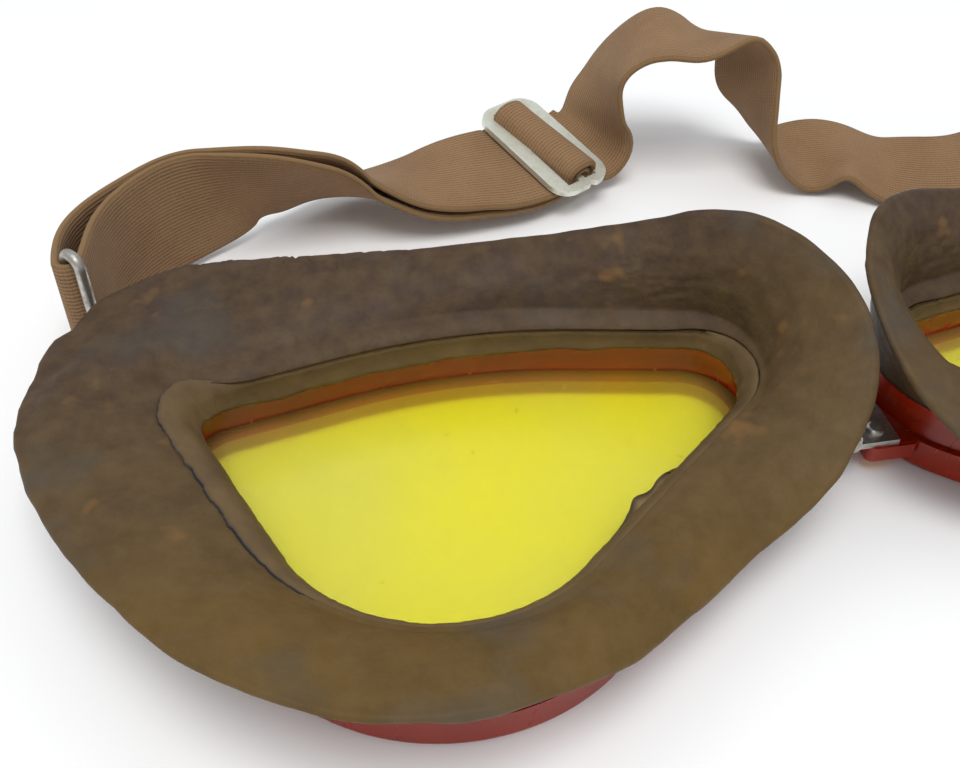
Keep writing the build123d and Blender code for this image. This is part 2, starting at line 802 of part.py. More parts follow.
def bridge_pin():
    length = bridge_leaf_width + 2 * barrel_gap
    body = Cylinder(pin_radius, length)
    for side in (-1, 1):
        head = Cylinder(pin_head_radius, pin_head_length)
        body = body + head.moved(Location((0, 0, side * (length + pin_head_length) / 2)))
    body = body.rotate(Axis.X, 90)
    return body.moved(Location((0, bridge_height, pin_level())))


def bridge_rivets(side):
    return rivets_at(list(bridge_places(side)))


def left_of_centre(shape):
    return shape.moved(Location((-cup_pitch / 2, 0, 0)))


def build_nodes():
    """Every node by name, before the whole is set on its origin."""
    nodes = {}
    paired = {
        "frame": frame(),
        "bezel": bezel(),
        "bezel_screws": bezel_screws(),
        "lens": lens(),
        "cushion": cushion(),
        "seam_tape": seam_tape(),
        "temple_tab": temple_tab(),
        "temple_rivets": temple_rivets(),
        "strap_link": strap_link(),
    }
    for name, shape in paired.items():
        left = left_of_centre(shape)
        nodes["left_" + name] = left
        nodes["right_" + name] = mirror(left, about=Plane.YZ)
    nodes["bridge_bar"] = bridge_bar()
    nodes["bridge_leaf"] = bridge_leaf()
    nodes["bridge_pin"] = bridge_pin()
    nodes["left_bridge_rivets"] = bridge_rivets(-1)
    nodes["right_bridge_rivets"] = bridge_rivets(1)
    nodes["slider"] = slider()
    nodes["strap_roll"] = strap_roll()
    nodes["strap_sewn_end"] = sewn_end()
    nodes["strap_loop"] = left_of_centre(strap_loop())
    nodes["strap_outer_layer"] = doubled_strap(-1)
    nodes["strap_inner_layer"] = doubled_strap(1)
    nodes["strap_back"] = back_strap()
    nodes["strap_sewn_loop"] = mirror(left_of_centre(sewn_loop()), about=Plane.YZ)
    return nodes


def origin_shift(nodes):
    """Moves the whole so that its box stands centred on the origin, on the table's level."""
    box = Compound([solid for shape in nodes.values() for solid in shape.solids()]).bounding_box()
    return Location((-(box.min.X + box.max.X) / 2, -(box.min.Y + box.max.Y) / 2, -box.min.Z))


all_nodes = build_nodes()
to_origin = origin_shift(all_nodes)
os.makedirs("parts", exist_ok=True)
for node_name, node_shape in all_nodes.items():
    export_step(Compound(node_shape.solids()).moved(to_origin), f"parts/{node_name}.step")
shift = to_origin.position
print("origin shift", round(shift.X, 3), round(shift.Y, 3), round(shift.Z, 3))
print("strap layers under the slider", [round(level, 2) for level in roll_levels()])
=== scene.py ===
import bpy
import math
import numpy as np
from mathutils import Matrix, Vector, noise


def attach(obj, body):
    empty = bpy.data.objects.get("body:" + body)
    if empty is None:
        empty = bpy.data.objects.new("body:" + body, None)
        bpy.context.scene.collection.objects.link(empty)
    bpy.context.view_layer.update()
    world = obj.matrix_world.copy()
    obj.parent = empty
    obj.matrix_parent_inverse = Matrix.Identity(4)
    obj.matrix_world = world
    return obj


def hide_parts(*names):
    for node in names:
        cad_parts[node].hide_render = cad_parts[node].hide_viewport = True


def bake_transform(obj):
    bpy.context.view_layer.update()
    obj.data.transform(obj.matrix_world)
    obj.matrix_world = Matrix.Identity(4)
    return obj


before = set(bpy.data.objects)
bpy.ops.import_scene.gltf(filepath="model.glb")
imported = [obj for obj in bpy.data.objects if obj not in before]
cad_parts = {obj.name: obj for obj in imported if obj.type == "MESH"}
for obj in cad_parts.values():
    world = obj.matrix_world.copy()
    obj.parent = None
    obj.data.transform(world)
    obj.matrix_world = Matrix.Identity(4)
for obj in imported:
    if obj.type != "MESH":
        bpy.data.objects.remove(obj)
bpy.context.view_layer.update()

sides = ("left", "right")
rowShift = Vector((0, -0.026701, 0))        # from the eyes' line to the middle of the box
eyeHalf = 0.042                             # half the distance between the eyes' own middles


def feed(tree, node, inputs):
    for key, value in inputs.items():
        if isinstance(value, bpy.types.NodeSocket):
            tree.links.new(value, node.inputs[key])
        else:
            node.inputs[key].default_value = value


def addNode(tree, kind, inputs, **settings):
    node = tree.nodes.new(kind)
    for key, value in settings.items():
        setattr(node, key, value)
    feed(tree, node, inputs)
    return node


def placeGroup(tree, group, inputs):
    return addNode(tree, "ShaderNodeGroup", inputs, node_tree=group)


def mixColour(tree, factor, first, second):
    return addNode(tree, "ShaderNodeMix", {0: factor, 6: first, 7: second}, data_type="RGBA").outputs[2]


def calc(tree, operation, first, second=0.0, clamp=False):
    values = {0: first, 1: second}
    return addNode(tree, "ShaderNodeMath", values, operation=operation, use_clamp=clamp).outputs[0]


def ramp(tree, factor, low, high, toLow=0.0, toHigh=1.0):
    values = {"Value": factor, "From Min": low, "From Max": high, "To Min": toLow, "To Max": toHigh}
    return addNode(tree, "ShaderNodeMapRange", values).outputs["Result"]


def noiseValue(tree, place, scale, detail, roughness=0.5):
    values = {"Vector": place, "Scale": scale, "Detail": detail, "Roughness": roughness}
    return addNode(tree, "ShaderNodeTexNoise", values).outputs[0]


def startMaterial(name):
    made = bpy.data.materials.new(name)
    made.use_nodes = True
    tree = made.node_tree
    tree.nodes.clear()
    shader = tree.nodes.new("ShaderNodeBsdfPrincipled")
    addNode(tree, "ShaderNodeOutputMaterial", {"Surface": shader.outputs[0]})
    return made, tree, shader


def startGroup(name, place, numbers, results):
    group = bpy.data.node_groups.new(name, "ShaderNodeTree")
    group.interface.new_socket(name=place, in_out="INPUT", socket_type="NodeSocketVector")
    for title in numbers:
        group.interface.new_socket(name=title, in_out="INPUT", socket_type="NodeSocketFloat")
    for title in results:
        group.interface.new_socket(name=title, in_out="OUTPUT", socket_type="NodeSocketFloat")
    return group, group.nodes.new("NodeGroupInput").outputs, group.nodes.new("NodeGroupOutput").inputs


effects = {
    "mottleDetail": 5.0, "mottleRoughness": 0.6,
    "wearSamples": 4, "wearEdge": (0.99, 0.82), "wearDetail": 4.0, "wearBroken": (0.35, 0.6),
    "scratchLines": ((0.5, 28.0), (-0.9, 22.0), (1.9, 34.0)),      # turn and stretch of each set
    "scratchDetail": 2.0, "scratchRoughness": 0.4, "scratchLevel": (0.70, 0.76),
    "driftScale": 420.0, "driftPull": 0.00022, "fuzzScale": 2600.0,
    "ribShare": 0.50, "pickShare": 0.12, "fuzzShare": 0.50, "gapLevel": (0.75, 0.25),
}


def makeMottle():
    group, given, out = startGroup("mottle", "Vector", ("Scale", "Spread"), ("Mask",))
    clouds = noiseValue(group, given["Vector"], given["Scale"], effects["mottleDetail"], effects["mottleRoughness"])
    low = calc(group, "SUBTRACT", 0.5, given["Spread"])
    high = calc(group, "ADD", 0.5, given["Spread"])
    group.links.new(ramp(group, clouds, low, high), out["Mask"])
    return group


def makeEdgeWear():
    group, given, out = startGroup("edgeWear", "Vector", ("Radius", "Scale"), ("Mask",))
    normal = group.nodes.new("ShaderNodeNewGeometry").outputs["Normal"]
    soft = addNode(group, "ShaderNodeBevel", {"Radius": given["Radius"]}, samples=effects["wearSamples"])
    turn = addNode(group, "ShaderNodeVectorMath", {0: normal, 1: soft.outputs[0]}, operation="DOT_PRODUCT")
    edge = ramp(group, turn.outputs["Value"], *effects["wearEdge"])
    rough = noiseValue(group, given["Vector"], given["Scale"], effects["wearDetail"])
    broken = ramp(group, rough, *effects["wearBroken"])
    group.links.new(calc(group, "MULTIPLY", edge, broken, True), out["Mask"])
    return group


def makeScratches():
    group, given, out = startGroup("scratches", "Vector", ("Scale", "Amount"), ("Mask",))
    found = []
    for turn, stretch in effects["scratchLines"]:
        values = {"Vector": given["Vector"], "Rotation": (0, 0, turn), "Scale": (1.0, stretch, 1.0)}
        place = addNode(group, "ShaderNodeMapping", values).outputs[0]
        line = noiseValue(group, place, given["Scale"], effects["scratchDetail"], effects["scratchRoughness"])
        found.append(ramp(group, line, *effects["scratchLevel"]))
    both = calc(group, "MAXIMUM", found[0], found[1])
    every = calc(group, "MAXIMUM", both, found[2])
    group.links.new(calc(group, "MULTIPLY", every, given["Amount"], True), out["Mask"])
    return group


def makeWeave():
    group, given, out = startGroup("elasticWeave", "UV", ("Rib", "Pick"), ("Height", "Dark"))
    values = {"Vector": given["UV"], "Scale": effects["driftScale"], "Detail": 2.0}
    drift = addNode(group, "ShaderNodeTexNoise", values)
    reach = (effects["driftPull"], effects["driftPull"], 0)
    pull = addNode(group, "ShaderNodeVectorMath", {0: drift.outputs["Color"], 1: reach}, operation="MULTIPLY")
    moved = addNode(group, "ShaderNodeVectorMath", {0: given["UV"], 1: pull.outputs[0]}, operation="ADD").outputs[0]
    threads = []
    for title, direction, share in (("Rib", "X", effects["ribShare"]), ("Pick", "Y", effects["pickShare"])):
        values = {"Vector": moved, "Scale": given[title]}
        wave = addNode(group, "ShaderNodeTexWave", values, bands_direction=direction)
        threads.append(calc(group, "MULTIPLY", wave.outputs["Fac"], share))
    fuzz = noiseValue(group, given["UV"], effects["fuzzScale"], 3.0)
    fuzzPart = calc(group, "MULTIPLY", fuzz, effects["fuzzShare"])
    height = calc(group, "ADD", calc(group, "ADD", *threads), fuzzPart)
    group.links.new(height, out["Height"])
    group.links.new(ramp(group, height, *effects["gapLevel"]), out["Dark"])
    return group


mottle = makeMottle()
edgeWear = makeEdgeWear()
scratches = makeScratches()
elasticWeave = makeWeave()
print("shared effects ready")


def objectCoords(tree):
    return tree.nodes.new("ShaderNodeTexCoord").outputs["Object"]


def patchMask(tree, place, scale, spread):
    return placeGroup(tree, mottle, {"Vector": place, "Scale": scale, "Spread": spread}).outputs["Mask"]


def scratchMask(tree, place, scale, amount):
    return placeGroup(tree, scratches, {"Vector": place, "Scale": scale, "Amount": amount}).outputs["Mask"]


def bumped(tree, height, distance, strength):
    values = {"Height": height, "Distance": distance, "Strength": strength}
    return addNode(tree, "ShaderNodeBump", values).outputs[0]


rubberLook = {
    # brow and low paint light and shade: the darker brow colour is painted shade on the brow side, the lighter low
    # colour painted light on the lower side
    "brow": (0.064, 0.039, 0.026, 1), "low": (0.134, 0.078, 0.019, 1), "side": (0.098, 0.060, 0.024, 1),
    "dust": (0.17, 0.11, 0.05, 1), "dark": (0.044, 0.026, 0.014, 1), "spot": (0.19, 0.100, 0.035, 1),
    "bloom": (0.072, 0.066, 0.056, 1),
    "wanderScale": 28.0, "wanderReach": 0.03, "browLevel": (-0.022, -0.006), "lowLevel": (-0.030, -0.046),
    "patches": (130.0, 0.22), "darkShare": 0.45, "dustPatches": (420.0, 0.16), "dustShare": 0.28,
    "spotNoise": (190.0, 2.0), "spotLevel": (0.66, 0.76), "spotShare": 0.7,
    "bloomNoise": (75.0, 3.0), "bloomLevel": (0.56, 0.72), "bloomShare": 0.55,
    "roughness": (0.44, 0.66), "specular": 0.14,
    "grain": (2200.0, 4.0), "grainShare": 0.25, "pits": (380.0, 3.0), "bump": (0.0003, 0.7),
}


def makeRubber():
    look = rubberLook
    made, tree, shader = startMaterial("cushionRubber")
    coords = objectCoords(tree)
    across = addNode(tree, "ShaderNodeSeparateXYZ", {0: coords}).outputs[1]
    wander = calc(tree, "SUBTRACT", noiseValue(tree, coords, look["wanderScale"], 3.0), 0.5)
    level = calc(tree, "ADD", across, calc(tree, "MULTIPLY", wander, look["wanderReach"]))
    # painted shade towards the brow and painted light towards the lower side, blended along y
    colour = mixColour(tree, ramp(tree, level, *look["browLevel"]), look["side"], look["brow"])
    colour = mixColour(tree, ramp(tree, level, *look["lowLevel"]), colour, look["low"])
    patches = patchMask(tree, coords, *look["patches"])
    colour = mixColour(tree, calc(tree, "MULTIPLY", patches, look["darkShare"]), colour, look["dark"])
    dust = patchMask(tree, coords, *look["dustPatches"])
    colour = mixColour(tree, calc(tree, "MULTIPLY", dust, look["dustShare"]), colour, look["dust"])
    for name in ("spot", "bloom"):
        found = ramp(tree, noiseValue(tree, coords, *look[name + "Noise"]), *look[name + "Level"])
        colour = mixColour(tree, calc(tree, "MULTIPLY", found, look[name + "Share"]), colour, look[name])
    grain = calc(tree, "MULTIPLY", noiseValue(tree, coords, *look["grain"]), look["grainShare"])
    height = calc(tree, "ADD", grain, noiseValue(tree, coords, *look["pits"]))
    feed(tree, shader, {"Base Color": colour, "Roughness": ramp(tree, patches, 0.0, 1.0, *look["roughness"]),
                        "Normal": bumped(tree, height, *look["bump"]), "Specular IOR Level": look["specular"]})
    return made


tapeLook = {
    # crease is painted shade: a dark line along the seam where the tape meets the cushion
    "light": (0.170, 0.108, 0.044, 1), "dark": (0.090, 0.056, 0.026, 1), "crease": (0.020, 0.021, 0.024, 1),
    "lighterEdge": (0.24, 0.165, 0.085, 1), "lighterEdgeShare": 0.7, "patches": (220.0, 0.3),
    "uneven": (260.0, 3.0), "unevenLevel": (0.30, 0.55, 0.25, 1.0),
    "roughness": 0.6, "specular": 0.25, "cloth": (420.0, 4.0), "bump": (0.0002, 0.7),
}


def makeTape():
    look = tapeLook
    made, tree, shader = startMaterial("seamTapeCloth")
    coords = objectCoords(tree)
    colour = mixColour(tree, patchMask(tree, coords, *look["patches"]), look["light"], look["dark"])
    share = ramp(tree, noiseValue(tree, coords, *look["uneven"]), *look["unevenLevel"])
    # painted shade along the seam between tape and cushion, uneven along its length
    seam = addNode(tree, "ShaderNodeAttribute", {}, attribute_name="seamShadeMark").outputs["Fac"]
    colour = mixColour(tree, calc(tree, "MULTIPLY", seam, share, True), colour, look["crease"])
    # lighter colour along the hanging free edge
    free = addNode(tree, "ShaderNodeAttribute", {}, attribute_name="freeEdge").outputs["Fac"]
    lighterEdge = calc(tree, "MULTIPLY", calc(tree, "MULTIPLY", free, share, True), look["lighterEdgeShare"])
    colour = mixColour(tree, lighterEdge, colour, look["lighterEdge"])
    cloth = noiseValue(tree, coords, *look["cloth"])
    feed(tree, shader, {"Base Color": colour, "Roughness": look["roughness"],
                        "Normal": bumped(tree, cloth, *look["bump"]), "Specular IOR Level": look["specular"]})
    return made


def letLampsThrough(tree, shader, colour):
    path = tree.nodes.new("ShaderNodeLightPath")
    clear = addNode(tree, "ShaderNodeBsdfTransparent", {"Color": colour})
    values = {0: path.outputs["Is Shadow Ray"], 1: shader.outputs[0], 2: clear.outputs[0]}
    both = addNode(tree, "ShaderNodeMixShader", values)
    tree.links.new(both.outputs[0], tree.nodes["Material Output"].inputs["Surface"])


amberLook = {
    "deep": (0.38, 0.017, 0.002, 1), "bright": (0.58, 0.034, 0.003, 1), "shadow": (0.80, 0.60, 0.20, 1),
    "clouds": (90.0, 0.2), "scratches": (120.0, 1.0), "roughness": (0.16, 0.4), "bump": (0.0001, 0.3),
    "transmission": 0.50, "bending": 1.49,
}


def makeAmber():
    look = amberLook
    made, tree, shader = startMaterial("amberShell")
    coords = objectCoords(tree)
    clouds = patchMask(tree, coords, *look["clouds"])
    marks = scratchMask(tree, coords, *look["scratches"])
    feed(tree, shader, {
        "Base Color": mixColour(tree, clouds, look["deep"], look["bright"]),
        "Roughness": ramp(tree, marks, 0.0, 1.0, *look["roughness"]), "Normal": bumped(tree, clouds, *look["bump"]),
        "Transmission Weight": look["transmission"], "IOR": look["bending"],
    })
    letLampsThrough(tree, shader, look["shadow"])
    return made


lensLook = {
    "clear": (0.73, 0.70, 0.075, 1), "haze": (0.66, 0.65, 0.22, 1), "speck": (0.42, 0.36, 0.06, 1),
    "shadow": (0.93, 0.92, 0.36, 1), "hazeNoise": (34.0, 2.0), "hazeLevel": (0.35, 0.65, 0.0, 0.8),
    "scratches": (95.0, 0.35), "speckNoise": (620.0, 1.0), "speckLevel": (0.76, 0.82, 0.0, 0.6),
    "roughness": (0.22, 0.34), "transmission": 0.80, "bending": 1.47,
}


def makeLens():
    look = lensLook
    made, tree, shader = startMaterial("yellowLens")
    coords = objectCoords(tree)
    haze = ramp(tree, noiseValue(tree, coords, *look["hazeNoise"]), *look["hazeLevel"])
    marks = scratchMask(tree, coords, *look["scratches"])
    colour = mixColour(tree, calc(tree, "MAXIMUM", haze, marks), look["clear"], look["haze"])
    specks = ramp(tree, noiseValue(tree, coords, *look["speckNoise"]), *look["speckLevel"])
    feed(tree, shader, {
        "Base Color": mixColour(tree, specks, colour, look["speck"]),
        "Roughness": ramp(tree, marks, 0.0, 1.0, *look["roughness"]),
        "Transmission Weight": look["transmission"], "IOR": look["bending"],
    })
    letLampsThrough(tree, shader, look["shadow"])
    return made


steelLook = {
    "bare": (0.56, 0.55, 0.52, 1), "tarnish": (0.24, 0.20, 0.15, 1), "worn": (0.80, 0.80, 0.77, 1),
    "grainTurn": 0.4, "roughness": (0.28, 0.50),
}
sliderLook = {
    "bare": (0.80, 0.82, 0.73, 1), "tarnish": (0.58, 0.55, 0.44, 1), "worn": (0.92, 0.93, 0.89, 1),
    "grainTurn": 0.9, "roughness": (0.50, 0.68),
}
metal = {
    "stains": (500.0, 0.12), "stainShare": 0.6, "wearRadius": 0.00025, "wearScale": 900.0,
    "grainStretch": 14.0, "grain": (700.0, 3.0), "bump": (0.00006, 0.5),
}


def makeSteel(name, look):
    made, tree, shader = startMaterial(name)
    coords = objectCoords(tree)
    stains = patchMask(tree, coords, *metal["stains"])
    stained = calc(tree, "MULTIPLY", stains, metal["stainShare"])
    colour = mixColour(tree, stained, look["bare"], look["tarnish"])
    values = {"Vector": coords, "Radius": metal["wearRadius"], "Scale": metal["wearScale"]}
    wear = placeGroup(tree, edgeWear, values)
    values = {"Vector": coords, "Rotation": (0, 0, look["grainTurn"]), "Scale": (1.0, metal["grainStretch"], 1.0)}
    grain = noiseValue(tree, addNode(tree, "ShaderNodeMapping", values).outputs[0], *metal["grain"])
    feed(tree, shader, {
        "Base Color": mixColour(tree, wear.outputs["Mask"], colour, look["worn"]), "Metallic": 1.0,
        "Roughness": ramp(tree, stains, 0.0, 1.0, *look["roughness"]),
        "Normal": bumped(tree, grain, *metal["bump"]),
    })
    return made


elasticLook = {
    "thread": (0.285, 0.165, 0.080, 1), "gap": (0.140, 0.078, 0.037, 1), "faded": (0.34, 0.205, 0.105, 1),
    "edge": (0.18, 0.108, 0.042, 1), "ribPitch": 0.00052, "pickPitch": 0.00040, "patches": (110.0, 0.2),
    "fadeShare": 0.45, "edgeBand": (0.0077, 0.0086), "edgeShare": 0.7, "roughness": 0.88, "specular": 0.2,
    "sheen": 0.06, "bump": (0.0002, 0.6),
}
waveLength = 0.3142        # one band of the wave texture at scale 1


def makeElastic():
    look = elasticLook
    made, tree, shader = startMaterial("strapElastic")
    coords = tree.nodes.new("ShaderNodeUVMap").outputs[0]
    weave = placeGroup(tree, elasticWeave, {"UV": coords, "Rib": waveLength / look["ribPitch"],
                                            "Pick": waveLength / look["pickPitch"]})
    colour = mixColour(tree, weave.outputs["Dark"], look["thread"], look["gap"])
    fade = calc(tree, "MULTIPLY", patchMask(tree, coords, *look["patches"]), look["fadeShare"])
    colour = mixColour(tree, fade, colour, look["faded"])
    across = addNode(tree, "ShaderNodeSeparateXYZ", {0: coords}).outputs[0]
    edge = ramp(tree, calc(tree, "ABSOLUTE", across), *look["edgeBand"])
    colour = mixColour(tree, calc(tree, "MULTIPLY", edge, look["edgeShare"]), colour, look["edge"])
    feed(tree, shader, {
        "Base Color": colour, "Roughness": look["roughness"], "Specular IOR Level": look["specular"],
        "Sheen Weight": look["sheen"], "Normal": bumped(tree, weave.outputs["Height"], *look["bump"]),
    })
    return made


rubber = makeRubber()
tapeCloth = makeTape()
amber = makeAmber()
lensYellow = makeLens()
steel = makeSteel("wornSteel", steelLook)
sliderSteel = makeSteel("sliderSteel", sliderLook)
elastic = makeElastic()
print("materials ready")


def finishNode(name, material):
    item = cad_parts[name]
    item.data.materials.clear()
    item.data.materials.append(material)


for side in sides:
    for part, material in (("frame", amber), ("bezel", amber), ("lens", lensYellow)):
        finishNode(side + "_" + part, material)
    for part in ("bezel_screws", "temple_tab", "temple_rivets", "strap_link", "bridge_rivets"):
        finishNode(side + "_" + part, steel)
for name in ("bridge_bar", "bridge_leaf", "bridge_pin"):
    finishNode(name, steel)
finishNode("slider", sliderSteel)
print("carried-over pieces finished")


eye = {      # outline and wall of the amber shell, mm
    "corners": ((-34.38, 16.00, 6.0), (0.0, 23.39, 70.2), (32.52, 16.88, 7.2), (32.58, 5.00, 11.4),
                (-12.78, -34.10, 19.5)),      # x, y and corner radius
    "startCorner": 4, "rear": 11.0, "wallFoot": 4.0, "wallRise": 7.0, "wallBase": 3.0, "wallLean": 2.0,
}


def eyeCourse():
    corners = [(Vector((x, y)), radius) for x, y, radius in eye["corners"]]
    count = len(corners)
    arcs = []
    for i, (spot, radius) in enumerate(corners):
        back = (corners[i - 1][0] - spot).normalized()
        ahead = (corners[(i + 1) % count][0] - spot).normalized()
        half = back.angle(ahead) / 2
        reach = radius / math.tan(half)
        centre = spot + (back + ahead).normalized() * (radius / math.sin(half))
        arcs.append((centre, radius, spot + back * reach, spot + ahead * reach))
    pieces = []
    for k in range(count):
        i = (eye["startCorner"] + k) % count
        centre, radius, first, last = arcs[i]
        turn = (first - centre).angle(last - centre)
        pieces.append(("arc", radius * turn, centre, first, turn))
        following = arcs[(i + 1) % count][2]
        pieces.append(("line", (following - last).length, last, following, 0))
    return pieces


course = eyeCourse()
courseLength = sum(piece[1] for piece in course)


def onOutline(share):
    left = (share % 1.0) * courseLength
    for kind, length, first, second, turn in course:
        if left <= length:
            break
        left -= length
    if kind == "line":
        way = (second - first).normalized()
        return first + way * left, Vector((-way.y, way.x))
    angle = -turn * left / length
    spoke = second - first
    spoke = Vector((spoke.x * math.cos(angle) - spoke.y * math.sin(angle),
                    spoke.x * math.sin(angle) + spoke.y * math.cos(angle)))
    return first + spoke, spoke.normalized()


def roundTable(rows, share):
    count = len(rows)
    share = share % 1.0
    i = max(k for k in range(count) if rows[k][0] <= share)
    before, here, after, later = (rows[(i + k) % count] for k in (-1, 0, 1, 2))
    starts = [before[0] - (i == 0), here[0], after[0] + (i == count - 1), later[0] + (i >= count - 2)]
    span = starts[2] - starts[1]
    t = (share - starts[1]) / span
    found = []
    for a, b, c, d in zip(before[1:], here[1:], after[1:], later[1:]):
        leave = (c - a) / (starts[2] - starts[0]) * span
        arrive = (d - b) / (starts[3] - starts[1]) * span
        found.append(b * (2 * t ** 3 - 3 * t * t + 1) + leave * (t ** 3 - 2 * t * t + t)
                     + c * (3 * t * t - 2 * t ** 3) + arrive * (t ** 3 - t * t))
    return found


def bow(first, middle, last, count):        # a circle's arc through three points, without its last point
    a, b, c = (Vector(p) for p in (first, middle, last))
    d = 2 * (a.x * (b.y - c.y) + b.x * (c.y - a.y) + c.x * (a.y - b.y))
    if abs(d) < 0.001:        # nearly straight
        return [a.lerp(c, k / count) for k in range(count)]
    sa, sb, sc = a.length_squared, b.length_squared, c.length_squared
    centre = Vector(((sa * (b.y - c.y) + sb * (c.y - a.y) + sc * (a.y - b.y)) / d,
                     (sa * (c.x - b.x) + sb * (a.x - c.x) + sc * (b.x - a.x)) / d))
    start, middleTurn, end = (math.atan2(p.y - centre.y, p.x - centre.x) for p in (a, b, c))
    sweep = (end - start) % (2 * math.pi)
    if (middleTurn - start) % (2 * math.pi) > sweep:
        sweep -= 2 * math.pi
    radius = (a - centre).length
    turns = [start + sweep * k / count for k in range(count)]
    return [centre + Vector((math.cos(t), math.sin(t))) * radius for t in turns]


def bell(value, middle, width):
    return math.exp(-((value - middle) / width) ** 2)


def noiseAt(spot, scale, seed, octaves):
    return noise.fractal(spot * scale + Vector((seed, seed * 0.7, seed * 1.3)), 0.6, 2.1, octaves)


def placeMesh(name, mesh, material):
    mesh.polygons.foreach_set("use_smooth", [True] * len(mesh.polygons))
    mesh.materials.append(material)
    item = bpy.data.objects.new(name, mesh)
    bpy.context.collection.objects.link(item)
    for other in bpy.context.selected_objects:
        other.select_set(False)
    item.select_set(True)
    bpy.context.view_layer.objects.active = item
    bpy.ops.object.mode_set(mode="EDIT")
    bpy.ops.mesh.select_all(action="SELECT")
    bpy.ops.mesh.normals_make_consistent(inside=False)
    bpy.ops.object.mode_set(mode="OBJECT")
    return item


def ringMesh(name, sections, flip, material):
    rows, size = len(sections), len(sections[0])
    points = [tuple(p) for section in sections for p in section]
    faces = []
    for i in range(rows):
        j = (i + 1) % rows
        for k in range(size):
            n = (k + 1) % size
            face = (i * size + k, i * size + n, j * size + n, j * size + k)
            faces.append(face[::-1] if flip else face)
    mesh = bpy.data.meshes.new(name)
    mesh.from_pydata(points, [], faces)
    return placeMesh(name, mesh, material)


def setOut(share, spot, flip):
    foot, outward = onOutline(share)
    flat = foot + outward * spot[0]
    x = (flat.x / 1000 - eyeHalf) * (-1 if flip else 1)
    return Vector((x, flat.y / 1000, spot[1] / 1000)) + rowShift


cushion = {
    "around": 520, "reach": 17.0, "rise": 13.5, "lip": 1.3, "crown": 1.2, "flare": 1.4, "inner": 0.3,
    "seat": 11.83, "edge": 0.9, "rootLevel": 7.4, "gap": 0.3,      # mm
    "topSteps": 30, "lipSteps": 9, "lowSteps": 14, "rootSteps": 4, "tipSteps": 4, "tapeSteps": 20,
    "brim": (0.5, 0.25), "turned": (-0.12, 0.28), "tip": (-0.16, 0.10), "seatIn": 0.1, "seatUp": 0.02,
    "tipBow": ((0, -0.30), (-0.14, -0.12), (0.02, 0.06)), "tipShare": 0.35, "tipUp": 0.10,
    "apronIn": 1.75, "apronDown": 0.95, "apronFrom": 0.385, "apronTo": 0.755, "apronFades": (0.03, 0.055),
    "swell": 0.13, "dimple": 1.0, "pucker": 0.40, "crease": 0.36, "ripple": 0.3,      # surface changes, mm
    "areas": {      # place round the eye and its width, place across the top and its width
        "corner": (0.375, 0.05, 0.6, 0.5), "brow": (0.47, 0.075, 0.95, 0.3), "cheek": (0.30, 0.06, 0.5, 0.35),
        "nose": (0.70, 0.05, 0.35, 0.3),
    },
    "noises": {      # scale, change of the seed and number of octaves
        "swell": (60, 0, 2), "fine": (190, 4, 2), "fold": (95, 31, 2), "dent": (160, 9, 3), "crease": (55, 21, 2),
        "pucker": (60, 0, 2), "ripple": (12, 0, 2),
    },
    "swellRatio": 2, "foldLevel": 0.30, "foldDepth": 1.7, "dentShare": 0.9,
    "puckerTurns": 3.2, "puckerAcross": 0.25, "puckerLevel": 0.4, "puckerDepth": 1.6,
    "creaseWidth": 0.22, "creaseSlope": 3, "rippleTurns": 6,
    "innerFree": 0.15, "freeRise": 4,      # how much of the changes the inner edge takes, and how fast it grows
    "stations": (      # place round the eye, share of the reach, share of the rise
        (0.000, 0.47, -0.05), (0.030, 0.46, 0.03), (0.060, 0.50, 0.15), (0.090, 0.58, 0.27), (0.125, 0.65, 0.33),
        (0.160, 0.68, 0.33), (0.195, 0.75, 0.30), (0.235, 0.85, 0.26), (0.285, 0.91, 0.23), (0.322, 0.92, 0.21),
        (0.337, 0.91, 0.20), (0.352, 0.92, 0.19), (0.367, 0.95, 0.21), (0.382, 1.00, 0.26), (0.397, 1.01, 0.30),
        (0.412, 0.97, 0.32), (0.440, 0.88, 0.33), (0.480, 0.72, 0.35), (0.520, 0.58, 0.38), (0.565, 0.47, 0.44),
        (0.610, 0.41, 0.54), (0.655, 0.37, 0.67), (0.695, 0.33, 0.80), (0.715, 0.30, 0.88), (0.731, 0.27, 0.95),
        (0.747, 0.28, 0.99), (0.762, 0.33, 0.97), (0.777, 0.42, 0.91), (0.793, 0.51, 0.81), (0.808, 0.60, 0.65),
        (0.823, 0.66, 0.42), (0.838, 0.68, 0.20), (0.856, 0.68, 0.05), (0.885, 0.63, -0.08), (0.920, 0.56, -0.12),
        (0.960, 0.52, -0.10),
    ),
}


cushionSeeds = {"left": (3.0, 1.0), "right": (14.0, 0.6)}      # noise seed, share of wear


def wallOutside(level):
    return eye["wallBase"] - eye["wallLean"] * (level - eye["wallFoot"]) / eye["wallRise"]


def smoothStep(value, low, high):
    t = max(0.0, min(1.0, (value - low) / (high - low)))
    return t * t * (3 - 2 * t)


def apronShare(share):
    begin, end = cushion["apronFrom"], cushion["apronTo"]
    rise, fall = cushion["apronFades"]
    return smoothStep(share, begin - rise, begin + rise) - smoothStep(share, end - fall, end + fall)


